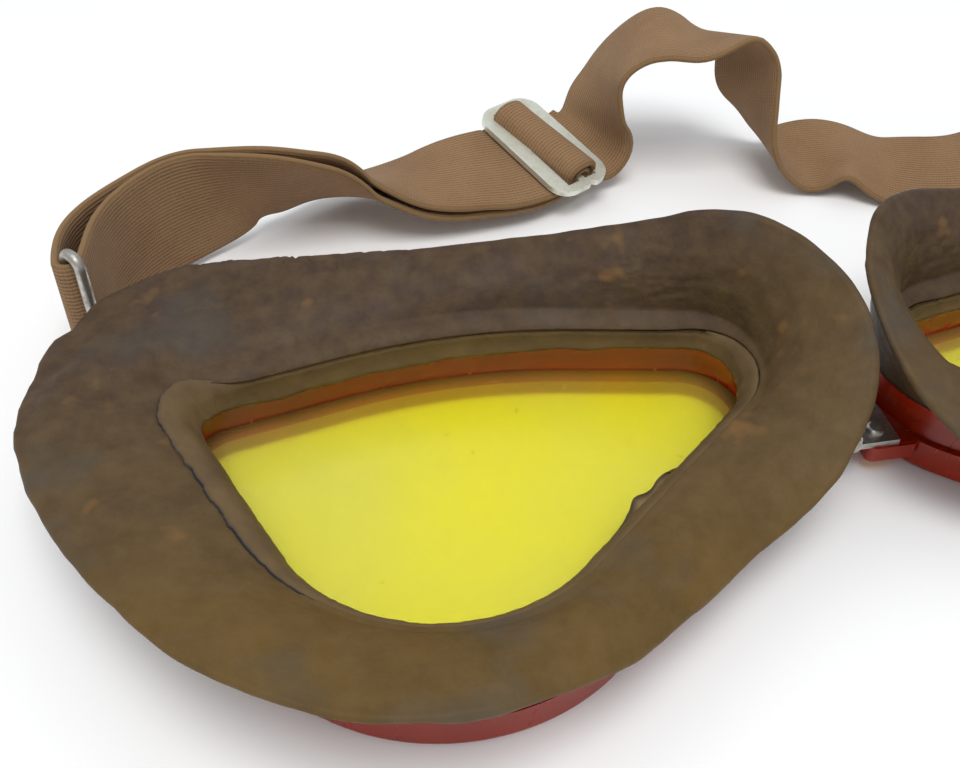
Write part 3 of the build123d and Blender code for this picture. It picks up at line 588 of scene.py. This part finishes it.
def cushionSection(share):
    reach, rise = roundTable(cushion["stations"], share)
    inner = Vector((cushion["inner"], cushion["seat"]))
    innerTop = inner + Vector((0, cushion["edge"]))
    root = Vector((wallOutside(cushion["rootLevel"]) + cushion["gap"], cushion["rootLevel"]))
    shoulder = Vector((wallOutside(eye["rear"]) + cushion["gap"], cushion["seat"]))
    lip = Vector((cushion["reach"] * reach, eye["rear"] + cushion["rise"] * rise))
    chord = (lip - innerTop).normalized()
    up = Vector((-chord.y, chord.x))
    half = cushion["lip"] / 2
    lipTop, lipLow, lipEnd = lip + up * half, lip - up * half, lip + chord * half
    crown = (innerTop + lipTop) / 2 + up * cushion["crown"]
    lowChord = (lipLow - root).normalized()
    hollow = (root + lipLow) / 2 - Vector((lowChord.y, -lowChord.x)) * cushion["flare"] * reach
    apron = apronShare(share)
    turned = innerTop + Vector(cushion["turned"])
    tipX, tipY = cushion["tip"]
    tip = innerTop + Vector((tipX - cushion["apronIn"] * apron, tipY - cushion["apronDown"] * apron))
    brim = innerTop + chord * cushion["brim"][0] + up * cushion["brim"][1]
    topSteps, lowSteps, rootSteps = cushion["topSteps"], cushion["lowSteps"], cushion["rootSteps"]
    points = [(p, k / topSteps) for k, p in enumerate(bow(brim, crown, lipTop, topSteps))]
    points += [(p, 1.0) for p in bow(lipTop, lipEnd, lipLow, cushion["lipSteps"])]
    points += [(p, 1.0 - k / lowSteps) for k, p in enumerate(bow(lipLow, hollow, root, lowSteps))]
    rest = [root.lerp(shoulder, k / rootSteps) for k in range(rootSteps)]
    rest += [shoulder, shoulder.lerp(inner, 0.5), inner + Vector((cushion["seatIn"], 0)),
             inner.lerp(tip, 0.5) + Vector((0, cushion["seatUp"]))]
    rest += bow(*[tip + Vector(offset) for offset in cushion["tipBow"]], cushion["tipSteps"])
    rest += [tip.lerp(turned, cushion["tipShare"]) + Vector((0, cushion["tipUp"])), turned]
    return points + [(p, 0.0) for p in rest]


def inArea(name, share, t):
    place, width, across, acrossWidth = cushion["areas"][name]
    return bell(share, place, width) * bell(t, across, acrossWidth)


def cushionNoise(name, spot, seed):
    scale, shift, octaves = cushion["noises"][name]
    return noiseAt(spot, scale, seed + shift, octaves)


def cushionLift(share, t, spot, seed, worn):
    swell, fine = cushionNoise("swell", spot, seed), cushionNoise("fine", spot, seed)
    lift = swell * cushion["swell"] * cushion["swellRatio"] + fine * cushion["swell"]
    folds = cushion["foldLevel"] - abs(cushionNoise("fold", spot, seed)) * cushion["foldDepth"]
    dents = cushionNoise("dent", spot, seed) * cushion["dentShare"] + folds
    lift += dents * cushion["dimple"] * (inArea("corner", share, t) * worn)
    place = Vector((share * cushion["puckerTurns"], t * cushion["puckerAcross"], seed))
    wrinkle = cushionNoise("pucker", place, seed)
    puckers = cushion["puckerLevel"] - cushion["puckerDepth"] * wrinkle ** 2
    lift += puckers * cushion["pucker"] * inArea("brow", share, t)
    creases = max(0.0, cushion["creaseWidth"] - abs(cushionNoise("crease", spot, seed)))
    lift -= creases * cushion["crease"] * cushion["creaseSlope"] * (inArea("cheek", share, t) * worn)
    ripples = cushionNoise("ripple", Vector((share * cushion["rippleTurns"], t, seed)), seed)
    return lift + ripples * cushion["ripple"] * inArea("nose", share, t)


def freeLift(share, t, spot, seed, worn):
    free = min(1.0, abs(t) * cushion["freeRise"] + cushion["innerFree"])
    return cushionLift(share, t, setOut(share, spot, False), seed, worn) * free


def makeCushion(side):
    flip = side == "right"
    seed, worn = cushionSeeds[side]
    sections = []
    for i in range(cushion["around"]):
        share = i / cushion["around"]
        points = cushionSection(share)
        size = len(points)
        section = []
        for k, (spot, t) in enumerate(points):
            along = points[(k + 1) % size][0] - points[k - 1][0]
            off = Vector((-along.y, along.x)).normalized()
            section.append(setOut(share, spot + off * freeLift(share, t, spot, seed, worn), flip))
        sections.append(section)
    item = ringMesh(side + "_rubber_cushion", sections, flip, rubber)
    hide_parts(side + "_cushion")
    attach(item, side + "_cup")


def cushionTop(share, distance, seed, worn):        # a point on the cushion's top, that far from its inner edge
    points = cushionSection(share)
    left, k = distance, 0
    way = points[1][0] - points[0][0]
    while left > way.length and k < cushion["tapeSteps"]:
        left -= way.length
        k += 1
        way = points[k + 1][0] - points[k][0]
    spot = points[k][0] + way.normalized() * left
    off = Vector((-way.y, way.x)).normalized()
    t = points[k][1] + left / way.length / cushion["topSteps"]
    return spot + off * freeLift(share, t, spot, seed, worn), off


tape = {
    "around": 620, "top": 11.55, "low": 11.05, "bend": -1.35, "thickness": 0.45, "ragged": 0.26, "wave": 0.14,
    "lapStart": 0.366, "lapEnd": 0.400, "lapLift": 0.2, "curlPlace": 0.93, "curlWidth": 0.032, "wobble": 0.20,
    "edge": 0.05, "tuckReach": 0.8, "seeds": {"left": 2.5, "right": 8.0},
    "noise": {      # scale, shift, roughness, step between octaves and number of octaves
        "hang": (9, (0, 0, 0), 0.8, 2.2, 4), "drop": (7, (4, 1, 0), 0.8, 2.2, 5),
        "wave": (15, (0, 0, 0), 0.7, 2.0, 3), "wobble": (21, (0, 0, 0), 0.7, 2.0, 3),
    },
    "stations": (          # place, reach over the cushion, hang, drop into the opening, mm
        (0.000, 0.0, 1.9, 2.4), (0.070, 0.0, 1.8, 2.4), (0.130, 0.1, 1.8, 2.3), (0.190, 0.6, 2.0, 2.2),
        (0.260, 1.0, 2.1, 2.0), (0.330, 1.2, 2.3, 1.9), (0.368, 0.7, 2.4, 2.2), (0.385, 0.2, 2.3, 2.6),
        (0.410, 0.0, 2.2, 3.0), (0.470, 0.0, 2.2, 3.1), (0.580, 0.0, 2.2, 2.9), (0.700, 0.0, 2.1, 2.4),
        (0.820, 0.1, 2.0, 2.2), (0.920, 0.3, 2.0, 2.4),
    ),
}


def tapeNoise(name, place):
    scale, shift, *shape = tape["noise"][name]
    return noise.fractal(place * scale + Vector(shift), *shape)


def tapeSection(share, side):
    ring = Vector((math.cos(share * 2 * math.pi), math.sin(share * 2 * math.pi), tape["seeds"][side]))
    reachOut, hang, drop = roundTable(tape["stations"], share)
    hang += tapeNoise("hang", ring) * tape["ragged"] * 0.6
    drop += tapeNoise("drop", ring) * tape["ragged"]
    wave = tapeNoise("wave", ring) * tape["wave"]
    wobble = tapeNoise("wobble", ring) * tape["wobble"]
    lap = tape["lapLift"] if tape["lapStart"] < share < tape["lapEnd"] else 0.0
    curl = bell(share, tape["curlPlace"], tape["curlWidth"]) * (1 + noise.noise(ring * 9) * 0.5)
    top, low, bend, thick, edge = (tape[name] for name in ("top", "low", "bend", "thickness", "edge"))
    tuck = max(0.0, min(1.0, (tape["tuckReach"] - reachOut) / tape["tuckReach"]))
    loose = 1 - tuck
    lean, off = cushionTop(share, max(reachOut + wobble, edge), *cushionSeeds[side])
    start, startOff = cushionTop(share, edge, *cushionSeeds[side])
    apron = apronShare(share)
    level = top + 0.80 - apron * 0.95
    lean = lean.lerp(Vector((0.12 - apron * 0.5, level + wobble * 0.6)), tuck)
    start = start.lerp(Vector((-0.12 - apron * 1.2, level - apron * 0.05 + wobble * 0.3)), tuck)
    raised = 0.27 + lap * 0.7
    over = raised + 0.05
    outside = [      # from the free edge on the cushion to the one that hangs in the opening, mm
        lean + off * 0.04, lean.lerp(start, 0.04) + off * raised, lean.lerp(start, 0.14) + off * over,
        lean.lerp(start, 0.55) + off * over,
        start + startOff * raised + Vector((-0.1 - 0.25 * loose, 0.14 * loose)),
        Vector((bend + 0.45 - apron * 0.55, top + 0.50 + 0.28 * loose - apron * 0.55 + lap * 0.6)),
        Vector((bend - 0.12 - lap - apron * 0.35, top - 0.20 - apron * 0.15 + wave)),
        Vector((bend - 0.38 - lap + wave, top - 0.75)), Vector((-hang * 0.95 - lap, top - drop * 0.82)),
        Vector((-hang - lap - curl * 1.3, top - drop * (1 - 0.42 * curl))),
    ]
    inside = [      # and back on the side that is stuck down
        Vector((-hang - lap * 0.4 + thick * 0.7, top - drop - thick * 0.1 + curl * drop * 0.42)),
        Vector((-hang * 0.95 + thick * 0.85, top - drop * 0.80)), Vector((bend - 0.38 + thick * 0.9, top - 0.80)),
        Vector((bend + 0.14, low)), Vector((-0.55, low + 0.3)), start - startOff * 0.15, lean - off * 0.12,
    ]
    return outside + inside


tapeMarks = {      # one value for each point of the section
    # the seam mark gives where the painted seam shade goes
    "seamShadeMark": (1.0, 1.0, 0.35) + (0.0,) * 13 + (1.0,),
    # the free-edge mark gives where the colour turns lighter along the hanging edge
    "freeEdge": (0.0,) * 8 + (0.15, 1.0, 1.0) + (0.0,) * 6,
}


def makeSeamTape(side):
    flip = side == "right"
    sections = []
    for i in range(tape["around"]):
        share = i / tape["around"]
        sections.append([setOut(share, spot, flip) for spot in tapeSection(share, side)])
    item = ringMesh(side + "_bound_tape", sections, flip, tapeCloth)
    for title, values in tapeMarks.items():
        layer = item.data.attributes.new(title, "FLOAT", "POINT")
        layer.data.foreach_set("value", list(values) * tape["around"])
    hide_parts(side + "_seam_tape")
    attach(item, side + "_cup")


for side in sides:
    makeCushion(side)
    makeSeamTape(side)
print("cushions and seam tapes made")


strap = {      # metres
    "width": 0.017, "thickness": 0.001, "linkFit": 0.00012, "sliderTail": 0.0009, "stack": 0.0002, "gap": 0.0003,
    "acrossSteps": 14, "alongStep": 0.0006,
}
slider = {      # place as shares of routeSize, turns in degrees, sizes in metres
    "place": (-0.232, 0.859, 0.430), "heading": 31.0, "widthTurn": -54.0, "widthTilt": -16.0,
    "width": 0.0112, "thickness": 0.0009, "centreBar": 0.0012,
}
routeSize = {"x": 85.789, "y": 42.5, "z": 17.0, "start": 33.664}      # mm
doubledRoute = (      # x, y and z as shares of routeSize, then the turn and tilt of the width in degrees
    (-0.993, 0.196, 0.606, -90, 90), (-0.970, 0.321, 0.594, -90, 90), (-0.930, 0.448, 0.576, -90, 90),
    (-0.877, 0.563, 0.553, -90, 90), (-0.816, 0.620, 0.570, -90, 80), (-0.746, 0.640, 0.615, -90, 62),
    (-0.680, 0.673, 0.540, -90, 52), (-0.626, 0.718, 0.440, -90, 41), (-0.582, 0.744, 0.365, -92, 30),
    (-0.523, 0.752, 0.330, -93, 16), (-0.470, 0.749, 0.315, -89, 2), (-0.415, 0.753, 0.322, -79, -7),
    (-0.361, 0.764, 0.340, -68, -12), (-0.333, 0.771, 0.338, -60, -15),
)
doubledSpread = (      # how far apart the two layers lie, 1 where they touch
    2.7, 1.9, 1.1, 1.0, 1.0, 1.1, 1.35, 1.7, 1.85, 1.75, 1.6, 1.45, 1.2, 1.1,
)
backRoute = (      # the same for the arch and the right run
    (-0.147, 0.962, 0.265, -57, -13), (-0.121, 0.982, 0.365, -63, -6), (-0.115, 0.998, 0.541, -72, -1),
    (-0.108, 1.006, 0.724, -83, 2), (-0.097, 1.013, 0.918, -93, 3), (-0.052, 1.010, 1.176, -102, -1),
    (-0.002, 0.991, 1.271, -103, -3), (0.049, 0.963, 1.218, -101, 3), (0.099, 0.954, 1.224, -99, 15),
    (0.130, 0.955, 1.218, -94, 23), (0.148, 0.947, 1.112, -84, 27), (0.154, 0.916, 0.888, -76, 26),
    (0.164, 0.878, 0.665, -86, 23), (0.180, 0.848, 0.435, -98, 17), (0.206, 0.820, 0.235, -100, 6),
    (0.251, 0.801, 0.165, -100, -9), (0.297, 0.775, 0.194, -102, -10), (0.343, 0.735, 0.224, -108, -1),
    (0.386, 0.679, 0.165, -113, -5), (0.443, 0.611, 0.150, -116, -12), (0.501, 0.552, 0.200, -113, -14),
    (0.569, 0.490, 0.324, -104, -25), (0.639, 0.446, 0.453, -90, -43), (0.715, 0.431, 0.524, -77, -62),
    (0.791, 0.455, 0.559, -63, -78), (0.868, 0.488, 0.582, -90, -88), (0.920, 0.484, 0.600, -90, -90),
    (0.968, 0.448, 0.612, -90, -90),
)


def aim(turn, tilt):
    level = math.cos(math.radians(tilt))
    return Vector((level * math.cos(math.radians(turn)), level * math.sin(math.radians(turn)),
                   math.sin(math.radians(tilt))))


def throughRows(rows, step):
    rows = np.array(rows, float)
    gaps = np.maximum(np.linalg.norm(np.diff(rows[:, :3], axis=0), axis=1), 1e-6)
    count = len(rows)
    bands = np.zeros((count, count))
    right = np.zeros((count, rows.shape[1]))
    bands[0, 0] = bands[-1, -1] = 1
    for i in range(1, count - 1):
        bands[i, i - 1], bands[i, i], bands[i, i + 1] = gaps[i - 1], 2 * (gaps[i - 1] + gaps[i]), gaps[i]
        right[i] = 6 * ((rows[i + 1] - rows[i]) / gaps[i] - (rows[i] - rows[i - 1]) / gaps[i - 1])
    bend = np.linalg.solve(bands, right)
    found, places = [], []
    for i in range(count - 1):
        places.append(len(found))
        h = gaps[i]
        steps = max(int(round(h / step)), 1)
        for t in np.arange(steps) / steps * h:
            a, b = h - t, t
            found.append((bend[i] * a ** 3 + bend[i + 1] * b ** 3) / (6 * h)
                         + (rows[i] / h - bend[i] * h / 6) * a + (rows[i + 1] / h - bend[i + 1] * h / 6) * b)
    places.append(len(found))
    found.append(rows[-1])
    return np.array(found), places


def strapFrames(rows, step):
    samples, places = throughRows(rows, step)
    centres, acrosses = samples[:, :3], samples[:, 3:]
    along = np.gradient(centres, axis=0)
    along /= np.linalg.norm(along, axis=1)[:, None]
    acrosses = acrosses - along * (acrosses * along).sum(1)[:, None]
    acrosses /= np.linalg.norm(acrosses, axis=1)[:, None]
    travel = np.concatenate(([0], np.cumsum(np.linalg.norm(np.diff(centres, axis=0), axis=1))))
    return (centres, acrosses, np.cross(along, acrosses), travel), places


def ribbon(name, frames, first, last):
    centres, acrosses, faceOut, travel = (part[first:last + 1] for part in frames)
    half, skin = strap["width"] / 2, strap["thickness"] / 2
    steps = strap["acrossSteps"]
    flat = [(-half + skin + (2 * half - 2 * skin) * k / steps, skin) for k in range(steps + 1)]
    turn = [(half - skin + skin * math.cos(a), skin * math.sin(a)) for a in (math.pi / 4, 0, -math.pi / 4)]
    ring = flat + turn + [(x, -y) for x, y in reversed(flat)] + [(-x, -y) for x, y in turn]
    count, size = len(centres), len(ring)
    points = [tuple(centres[i] + acrosses[i] * x + faceOut[i] * y) for i in range(count) for x, y in ring]
    faces, spots = [], []
    for i in range(count - 1):
        for k in range(size):
            n = (k + 1) % size
            faces.append((i * size + k, i * size + n, (i + 1) * size + n, (i + 1) * size + k))
            spots.append([(ring[k][0], travel[i]), (ring[n][0], travel[i]), (ring[n][0], travel[i + 1]),
                          (ring[k][0], travel[i + 1])])
    lastRing = (count - 1) * size
    faces += [list(range(size)), [lastRing + k for k in reversed(range(size))]]
    spots += [[(x, travel[0] + y) for x, y in ring], [(x, travel[-1] + y) for x, y in reversed(ring)]]
    mesh = bpy.data.meshes.new(name)
    mesh.from_pydata(points, [], faces)
    uv = mesh.uv_layers.new(name="strapUV")
    uv.data.foreach_set("uv", [value for face in spots for spot in face for value in spot])
    for edge in mesh.edges:
        if max(edge.vertices) < size or min(edge.vertices) >= lastRing:
            edge.use_edge_sharp = True        # the cut ends stay crisp
    return placeMesh(name, mesh, elastic), float(travel[-1] - travel[0])


def rowPoint(x, y, z):
    return Vector((x, y, z)) * 0.001 + rowShift


def routePoint(x, y, z):
    return rowPoint(x * routeSize["x"], routeSize["start"] + y * routeSize["y"], z * routeSize["z"])


def stationRows(route):
    return [[*routePoint(x, y, z), *aim(turn, tilt)] for x, y, z, turn, tilt in route]


thick, fit = strap["thickness"], strap["linkFit"]
widthAtSlider = aim(slider["widthTurn"], slider["widthTilt"])
sliderAlong = aim(slider["heading"], 0)
sliderAcross = -widthAtSlider
sliderAcross = (sliderAcross - sliderAlong * sliderAcross.dot(sliderAlong)).normalized()
sliderUp = sliderAlong.cross(sliderAcross)
sliderPlace = routePoint(*slider["place"])


def nearSlider(along, up):
    return [*(sliderPlace + sliderAlong * along + sliderUp * up), *widthAtSlider]


barX, barY = routeSize["x"], routeSize["start"]
linkBar = rowPoint(-barX, barY, 0)
strapLevel = 10.45        # middle of the strap's width at the links, mm
wireRadius = 0.0007
turnRadius = wireRadius + fit + thick / 2
upright = (0, 0, 1)
downward = (0, 0, -1)


def linkTurn(flip):
    rows = []
    bar = Vector((linkBar.x * flip, linkBar.y, strapLevel / 1000))
    for angle in range(0, 181, 30):
        turn = math.radians(angle)
        place = bar + Vector((-math.cos(turn) * flip, -math.sin(turn), 0)) * turnRadius
        rows.append([*place, *(upright if flip > 0 else downward)])
    return rows


def layerRows(outside):
    rows = []
    middles = np.array(stationRows(doubledRoute))
    along = np.gradient(middles[:, :3], axis=0)
    for row, way, spread in zip(middles, along, doubledSpread):
        way = Vector(way).normalized()
        across = Vector(row[3:])
        across = (across - way * across.dot(way)).normalized()
        lift = way.cross(across) * (spread * (thick + strap["stack"]) / 2 * (-1 if outside else 1))
        rows.append([*(Vector(row[:3]) + lift), *row[3:]])
    return rows


outer, inner = layerRows(True), layerRows(False)
halfSlider, halfBar = slider["thickness"] / 2, slider["centreBar"] / 2
upper = halfSlider + strap["gap"] + thick / 2
lower = upper + thick + strap["stack"]
rollEnd = slider["width"] / 2 + strap["sliderTail"]
leg = halfBar + 2 * fit + thick * 1.5
rollTop = halfSlider + 2 * fit + thick * 1.5
rollRun, rollFlare, rollSide = 0.0014, 0.0002, 0.0012      # flat run before the roll, and its shape, in metres
rollPath = [      # along the strap and up, over the centre bar
    (-rollEnd, -upper), (-leg - rollRun, -upper), (-leg - rollFlare, -upper * 0.4), (-leg * 0.98, rollSide),
    (-leg * 0.62, rollTop * 0.93), (0, rollTop * 1.04), (leg * 0.62, rollTop * 0.93), (leg * 0.98, rollSide),
    (leg + rollFlare, -upper * 0.4), (leg + rollRun, -upper),
]
sewnSide = halfBar + fit + thick / 2
sewnTop = halfSlider + fit + thick / 2
sewnPath = [      # the sewn end, inside the roll
    (-rollEnd, -lower), (-sewnSide, -lower), (sewnSide * 0.6, -lower * 0.96), (sewnSide, -lower * 0.5),
    (sewnSide, sewnTop * 0.4), (sewnSide * 0.5, sewnTop), (-sewnSide * 0.5, sewnTop), (-sewnSide, sewnTop * 0.4),
    (-sewnSide, -sewnTop * 0.5), (-sewnSide * 0.4, -sewnTop), (0.0001, -sewnTop),
]
sewn = {"leg": 3.2, "pinch": 3.0, "bend": 3.0, "length": 9.0, "layerGap": 0.04}      # right link's loop, mm
halfStack = (thick * 1000 + sewn["layerGap"]) / 2
sewnStart = barY + sewn["leg"] + sewn["pinch"]
sewnRoute = [(barX - halfStack, sewnStart + sewn["length"]), (barX - halfStack, sewnStart + sewn["bend"]),
             (barX - halfStack, sewnStart), (barX - turnRadius * 1000, barY + sewn["leg"])]
closing = [[*rowPoint(x, y, strapLevel), *downward] for x, y in sewnRoute]
returning = [[*rowPoint(2 * barX - x, y, strapLevel), *downward] for x, y in reversed(sewnRoute)]

strapParts = (
    [nearSlider(*spot) for spot in reversed(sewnPath)], list(reversed(inner)), list(reversed(linkTurn(1))), outer,
    [nearSlider(*spot) for spot in rollPath], stationRows(backRoute),
    closing + list(reversed(linkTurn(-1))) + returning,
)
strapRows, partStarts = [], []
for part in strapParts:
    partStarts.append(len(strapRows))
    strapRows += part
frames, places = strapFrames(strapRows, strap["alongStep"])
splitRow, archRow, spanRow = 6, 6, 21          # rows at which the strap is parted between bodies
lowSplit, topSplit = partStarts[2] - 1 - splitRow, partStarts[3] + splitRow
exitRow, archSplit, spanSplit = partStarts[5] - 1, partStarts[5] + archRow, partStarts[5] + spanRow


def strapPiece(name, first, last, replaced):
    item, length = ribbon(name, frames, places[first], places[last])
    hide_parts(*replaced)
    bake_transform(item)


strapPiece("strap_fixed_part", 0, lowSplit, ("strap_sewn_end", "strap_inner_layer"))
strapPiece("strap_link_turn", lowSplit, topSplit,
           ("strap_loop", "strap_outer_layer", "strap_inner_layer"))
strapPiece("strap_running_part", topSplit, exitRow, ("strap_roll", "strap_outer_layer"))
strapPiece("strap_arch", exitRow, archSplit, ("strap_back",))
strapPiece("strap_span", archSplit, spanSplit, ("strap_back",))
strapPiece("strap_right_run", spanSplit, len(strapRows) - 1, ("strap_back", "strap_sewn_loop"))
print("strap made")


room = {
    "floorSize": 6, "floorLevel": -0.00005, "floorColour": (0.955, 0.95, 0.94, 1), "floorRoughness": 0.6,
    "skyColour": (0.93, 0.96, 1.0, 1), "skyStrength": 0.66,
    "lamps": (      # name, place, size, power and colour
        ("overheadLamp", (-0.05, -0.36, 1.02), 0.55, 6.6, (1.0, 1.0, 1.0)),
        ("leftLamp", (-0.75, 0.10, 0.65), 0.6, 0.4, (1.0, 0.99, 0.96)),
    ),
}
photoView = {      # lens and sensor width in mm, place in mm from the eyes' line
    "lens": 41.25, "sensor": 36, "near": 0.005, "place": (-57.7, -79.6, 92), "facing": (0.1375, 0.7421, -0.6561),
}

bpy.ops.mesh.primitive_plane_add(size=room["floorSize"], location=(0, 0, room["floorLevel"]))
floor = bpy.context.active_object
floor.name = "floor"
floorLook, floorTree, floorShader = startMaterial("paleTable")
feed(floorTree, floorShader, {"Base Color": room["floorColour"], "Roughness": room["floorRoughness"]})
floor.data.materials.append(floorLook)

world = bpy.data.worlds.new("paleRoom")
bpy.context.scene.world = world
world.use_nodes = True
feed(world.node_tree, world.node_tree.nodes["Background"], {0: room["skyColour"], 1: room["skyStrength"]})

for name, place, size, power, colour in room["lamps"]:
    data = bpy.data.lights.new(name, "AREA")
    data.size = size
    data.energy = power
    data.color = colour
    lamp = bpy.data.objects.new(name, data)
    bpy.context.collection.objects.link(lamp)
    lamp.location = place
    lamp.rotation_euler = (-Vector(place)).to_track_quat("-Z", "Y").to_euler()

cameraData = bpy.data.cameras.new("photoCamera")
cameraData.lens = photoView["lens"]
cameraData.sensor_width = photoView["sensor"]
cameraData.clip_start = photoView["near"]
camera = bpy.data.objects.new("photoCamera", cameraData)
bpy.context.collection.objects.link(camera)
camera.location = rowPoint(*photoView["place"])
camera.rotation_euler = Vector(photoView["facing"]).to_track_quat("-Z", "Y").to_euler()
bpy.context.scene.camera = camera
bpy.context.scene.view_settings.view_transform = "Standard"
print("floor, light and camera set")
